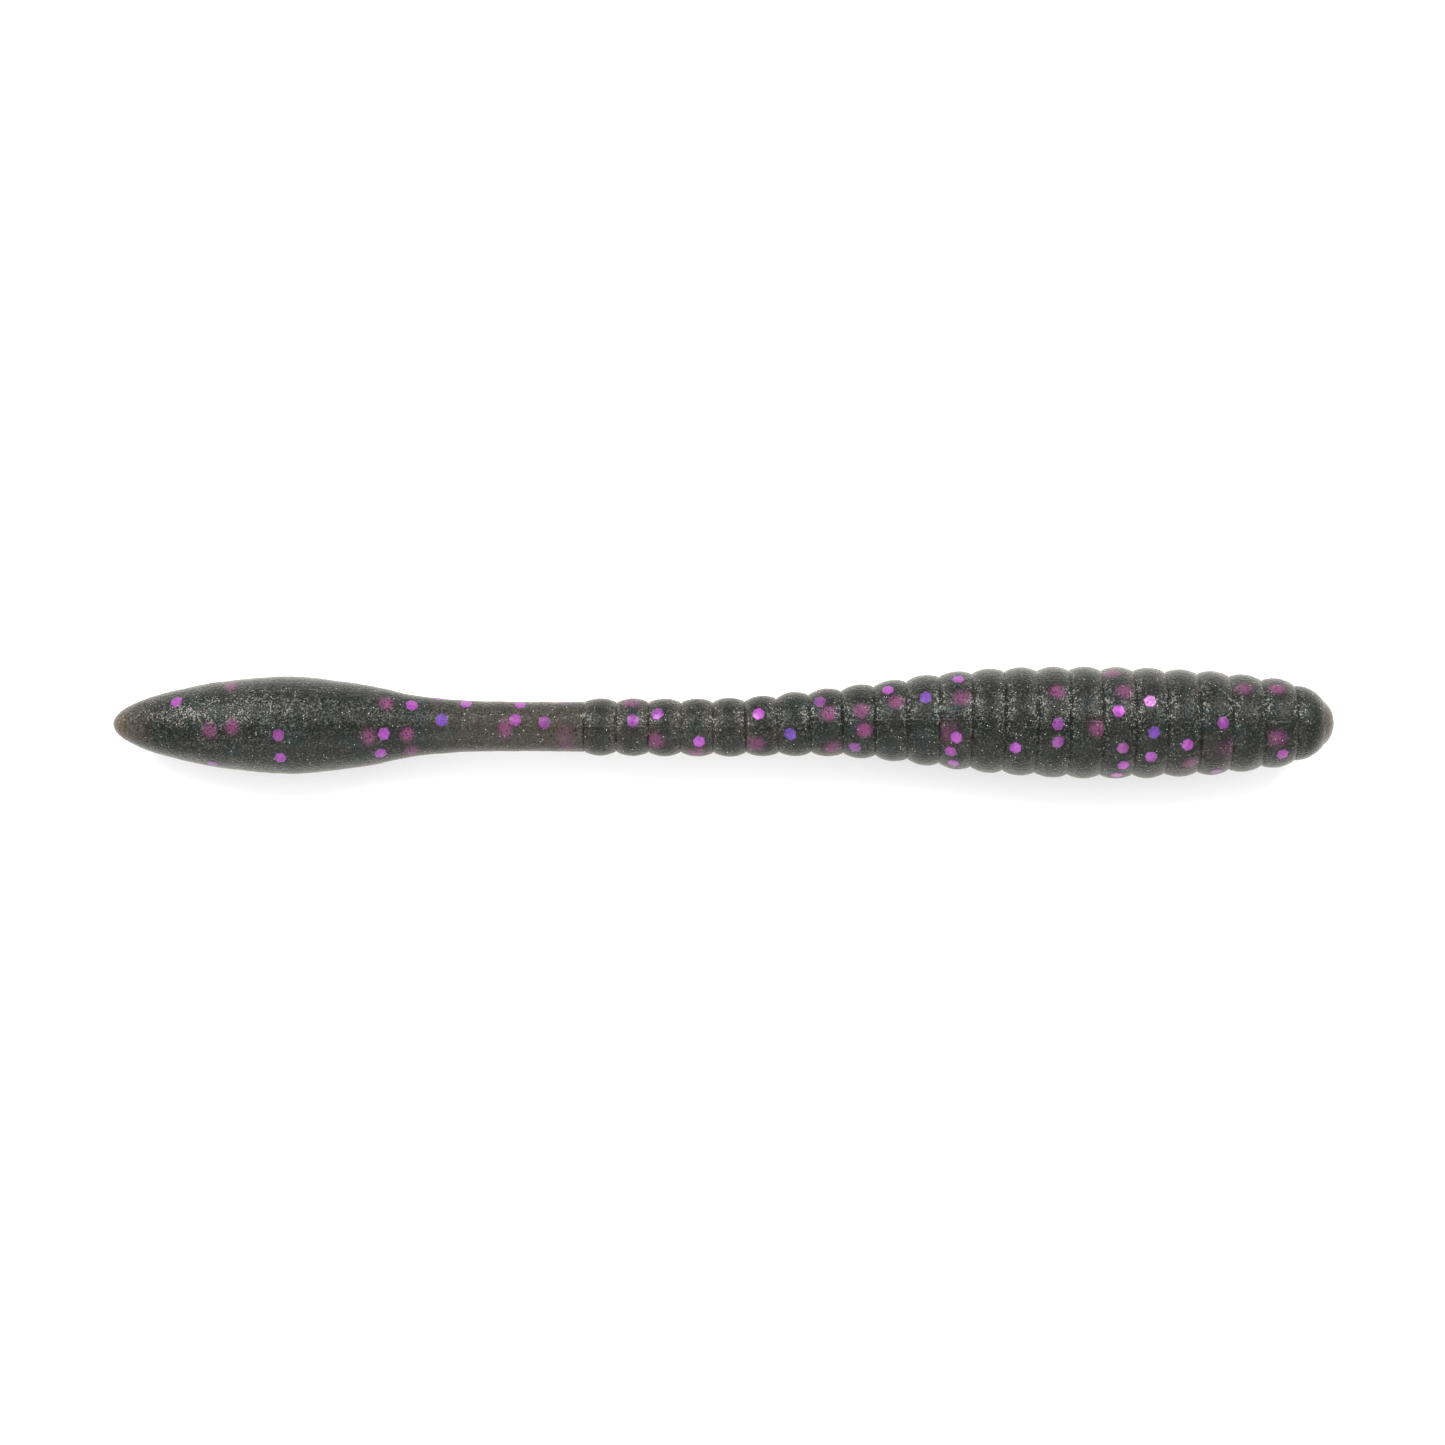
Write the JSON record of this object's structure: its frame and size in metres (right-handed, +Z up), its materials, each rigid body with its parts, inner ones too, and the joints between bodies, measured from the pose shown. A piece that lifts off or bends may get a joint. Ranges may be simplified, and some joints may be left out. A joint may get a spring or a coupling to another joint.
{
  "type": "soft plastic worm",
  "caption": "Straight soft plastic fishing worm with a ribbed body, slim neck and smooth bulb tail; bends at every ring groove and along the tail, with foil flakes cast inside.",
  "frame": {"origin": "middle of the underside of the worm's box, as it lies straight on a table", "axes": "+X runs along the worm towards the nose, +Z is up from the table, +Y is to the left of the nose"},
  "size_m": [0.1524, 0.014, 0.0141],
  "materials": {
    "smoky_plastisol": "satin",
    "foil_flake": "gloss"
  },
  "bodies": {
    "nose": {"nose": "smoky_plastisol", "flakes_nose": "foil_flake"},
    "ring_01": {"ring_01": "smoky_plastisol", "flakes_ring_01": "foil_flake"},
    "ring_02": {"ring_02": "smoky_plastisol", "flakes_ring_02": "foil_flake"},
    "ring_03": {"ring_03": "smoky_plastisol", "flakes_ring_03": "foil_flake"},
    "ring_04": {"ring_04": "smoky_plastisol", "flakes_ring_04": "foil_flake"},
    "ring_05": {"ring_05": "smoky_plastisol", "flakes_ring_05": "foil_flake"},
    "ring_06": {"ring_06": "smoky_plastisol", "flakes_ring_06": "foil_flake"},
    "ring_07": {"ring_07": "smoky_plastisol", "flakes_ring_07": "foil_flake"},
    "ring_08": {"ring_08": "smoky_plastisol", "flakes_ring_08": "foil_flake"},
    "ring_09": {"ring_09": "smoky_plastisol", "flakes_ring_09": "foil_flake"},
    "ring_10": {"ring_10": "smoky_plastisol", "flakes_ring_10": "foil_flake"},
    "ring_11": {"ring_11": "smoky_plastisol", "flakes_ring_11": "foil_flake"},
    "ring_12": {"ring_12": "smoky_plastisol", "flakes_ring_12": "foil_flake"},
    "ring_13": {"ring_13": "smoky_plastisol", "flakes_ring_13": "foil_flake"},
    "ring_14": {"ring_14": "smoky_plastisol", "flakes_ring_14": "foil_flake"},
    "ring_15": {"ring_15": "smoky_plastisol", "flakes_ring_15": "foil_flake"},
    "ring_16": {"ring_16": "smoky_plastisol", "flakes_ring_16": "foil_flake"},
    "ring_17": {"ring_17": "smoky_plastisol", "flakes_ring_17": "foil_flake"},
    "ring_18": {"ring_18": "smoky_plastisol", "flakes_ring_18": "foil_flake"},
    "ring_19": {"ring_19": "smoky_plastisol", "flakes_ring_19": "foil_flake"},
    "ring_20": {"ring_20": "smoky_plastisol", "flakes_ring_20": "foil_flake"},
    "ring_21": {"ring_21": "smoky_plastisol", "flakes_ring_21": "foil_flake"},
    "ring_22": {"ring_22": "smoky_plastisol", "flakes_ring_22": "foil_flake"},
    "neck_1": {"neck_1": "smoky_plastisol", "flakes_neck_1": "foil_flake"},
    "neck_2": {"neck_2": "smoky_plastisol", "flakes_neck_2": "foil_flake"},
    "neck_3": {"neck_3": "smoky_plastisol", "flakes_neck_3": "foil_flake"},
    "tail_1": {"tail_1": "smoky_plastisol", "flakes_tail_1": "foil_flake"},
    "tail_2": {"tail_2": "smoky_plastisol", "flakes_tail_2": "foil_flake"},
    "tail_tip": {"tail_tip": "smoky_plastisol", "flakes_tail_tip": "foil_flake"}
  },
  "joints": [
    {"name": "bend_01_sideways", "type": "hinge", "parent": "nose", "child": "ring_01", "pos_m": [0.07119, -0.00005, 0.00726], "axis": [-0.0094, 0, 1], "range_deg": [-12, 12], "stiffness_Nm_per_rad": 0.00458},
    {"name": "bend_02_up_down", "type": "hinge", "parent": "ring_01", "child": "ring_02", "pos_m": [0.06717, -0.00005, 0.00723], "axis": [0.0001, 1, 0], "range_deg": [-9, 9], "stiffness_Nm_per_rad": 0.00987},
    {"name": "bend_03_sideways", "type": "hinge", "parent": "ring_02", "child": "ring_03", "pos_m": [0.06315, -0.00005, 0.00719], "axis": [-0.0094, 0, 1], "range_deg": [-8, 8], "stiffness_Nm_per_rad": 0.0136},
    {"name": "bend_04_up_down", "type": "hinge", "parent": "ring_03", "child": "ring_04", "pos_m": [0.05913, -0.00005, 0.00715], "axis": [0.001, 1, 0], "range_deg": [-8, 8], "stiffness_Nm_per_rad": 0.0167},
    {"name": "bend_05_sideways", "type": "hinge", "parent": "ring_04", "child": "ring_05", "pos_m": [0.05511, -0.00004, 0.00711], "axis": [-0.0094, 0, 1], "range_deg": [-7, 7], "stiffness_Nm_per_rad": 0.019},
    {"name": "bend_06_up_down", "type": "hinge", "parent": "ring_05", "child": "ring_06", "pos_m": [0.05109, -0.00003, 0.00708], "axis": [0.0041, 1, 0], "range_deg": [-7, 7], "stiffness_Nm_per_rad": 0.0206},
    {"name": "bend_07_sideways", "type": "hinge", "parent": "ring_06", "child": "ring_07", "pos_m": [0.04707, -0.00001, 0.00704], "axis": [-0.0094, 0, 1], "range_deg": [-7, 7], "stiffness_Nm_per_rad": 0.0213},
    {"name": "bend_08_up_down", "type": "hinge", "parent": "ring_07", "child": "ring_08", "pos_m": [0.04305, 0.00003, 0.007], "axis": [0.016, 0.9999, 0.0002], "range_deg": [-7, 7], "stiffness_Nm_per_rad": 0.0209},
    {"name": "bend_09_sideways", "type": "hinge", "parent": "ring_08", "child": "ring_09", "pos_m": [0.03903, 0.00011, 0.00696], "axis": [-0.0094, 0, 1], "range_deg": [-7, 7], "stiffness_Nm_per_rad": 0.0196},
    {"name": "bend_10_up_down", "type": "hinge", "parent": "ring_09", "child": "ring_10", "pos_m": [0.03501, 0.00021, 0.00692], "axis": [0.0221, 0.9998, 0.0002], "range_deg": [-8, 8], "stiffness_Nm_per_rad": 0.0173},
    {"name": "bend_11_sideways", "type": "hinge", "parent": "ring_10", "child": "ring_11", "pos_m": [0.03099, 0.00028, 0.00689], "axis": [-0.0094, 0, 1], "range_deg": [-8, 8], "stiffness_Nm_per_rad": 0.0138},
    {"name": "bend_12_up_down", "type": "hinge", "parent": "ring_11", "child": "ring_12", "pos_m": [0.02697, 0.00031, 0.00685], "axis": [-0.0006, 1, 0], "range_deg": [-9, 9], "stiffness_Nm_per_rad": 0.00995},
    {"name": "bend_13_sideways", "type": "hinge", "parent": "ring_12", "child": "ring_13", "pos_m": [0.02295, 0.00028, 0.00681], "axis": [-0.0094, 0, 1], "range_deg": [-10, 10], "stiffness_Nm_per_rad": 0.00622},
    {"name": "bend_14_up_down", "type": "hinge", "parent": "ring_13", "child": "ring_14", "pos_m": [0.01893, 0.0002, 0.00677], "axis": [-0.0253, 0.9997, -0.0002], "range_deg": [-11, 11], "stiffness_Nm_per_rad": 0.00373},
    {"name": "bend_15_sideways", "type": "hinge", "parent": "ring_14", "child": "ring_15", "pos_m": [0.01491, 0.00008, 0.00674], "axis": [-0.0094, 0, 1], "range_deg": [-13, 13], "stiffness_Nm_per_rad": 0.00262},
    {"name": "bend_16_up_down", "type": "hinge", "parent": "ring_15", "child": "ring_16", "pos_m": [0.01089, -0.00008, 0.0067], "axis": [-0.0542, 0.9985, -0.0005], "range_deg": [-14, 14], "stiffness_Nm_per_rad": 0.00198},
    {"name": "bend_17_sideways", "type": "hinge", "parent": "ring_16", "child": "ring_17", "pos_m": [0.00687, -0.00032, 0.00666], "axis": [-0.0094, 0, 1], "range_deg": [-15, 15], "stiffness_Nm_per_rad": 0.00148},
    {"name": "bend_18_up_down", "type": "hinge", "parent": "ring_17", "child": "ring_18", "pos_m": [0.00285, -0.00052, 0.00662], "axis": [-0.0345, 0.9994, -0.0003], "range_deg": [-15, 15], "stiffness_Nm_per_rad": 0.00123},
    {"name": "bend_19_sideways", "type": "hinge", "parent": "ring_18", "child": "ring_19", "pos_m": [-0.00117, -0.0006, 0.00658], "axis": [-0.0094, 0, 1], "range_deg": [-16, 16], "stiffness_Nm_per_rad": 0.00115},
    {"name": "bend_20_up_down", "type": "hinge", "parent": "ring_19", "child": "ring_20", "pos_m": [-0.00519, -0.00061, 0.00655], "axis": [0.0025, 1, 0], "range_deg": [-16, 16], "stiffness_Nm_per_rad": 0.00111},
    {"name": "bend_21_sideways", "type": "hinge", "parent": "ring_20", "child": "ring_21", "pos_m": [-0.00921, -0.00058, 0.00651], "axis": [-0.0094, 0, 1], "range_deg": [-16, 16], "stiffness_Nm_per_rad": 0.0011},
    {"name": "bend_22_up_down", "type": "hinge", "parent": "ring_21", "child": "ring_22", "pos_m": [-0.01323, -0.00055, 0.00647], "axis": [0.0074, 1, 0.0001], "range_deg": [-16, 16], "stiffness_Nm_per_rad": 0.0011},
    {"name": "bend_23_sideways", "type": "hinge", "parent": "ring_22", "child": "neck_1", "pos_m": [-0.01725, -0.00053, 0.00643], "axis": [-0.0094, 0, 1], "range_deg": [-21, 21], "stiffness_Nm_per_rad": 0.000827},
    {"name": "bend_24_up_down", "type": "hinge", "parent": "neck_1", "child": "neck_2", "pos_m": [-0.02375, -0.00049, 0.00637], "axis": [0.0054, 1, 0.0001], "range_deg": [-26, 26], "stiffness_Nm_per_rad": 0.000652},
    {"name": "bend_25_sideways", "type": "hinge", "parent": "neck_2", "child": "neck_3", "pos_m": [-0.03025, -0.00046, 0.00631], "axis": [-0.0094, 0, 1], "range_deg": [-25, 25], "stiffness_Nm_per_rad": 0.000715},
    {"name": "bend_26_up_down", "type": "hinge", "parent": "neck_3", "child": "tail_1", "pos_m": [-0.03675, -0.00042, 0.00625], "axis": [0.0059, 1, 0.0001], "range_deg": [-29, 29], "stiffness_Nm_per_rad": 0.000934},
    {"name": "bend_27_sideways", "type": "hinge", "parent": "tail_1", "child": "tail_2", "pos_m": [-0.04695, -0.00036, 0.00615], "axis": [-0.0094, 0, 1], "range_deg": [-24, 24], "stiffness_Nm_per_rad": 0.00384},
    {"name": "bend_28_up_down", "type": "hinge", "parent": "tail_2", "child": "tail_tip", "pos_m": [-0.05795, -0.00029, 0.00605], "axis": [0.0062, 1, 0.0001], "range_deg": [-31, 31], "stiffness_Nm_per_rad": 0.00397}
  ]
}
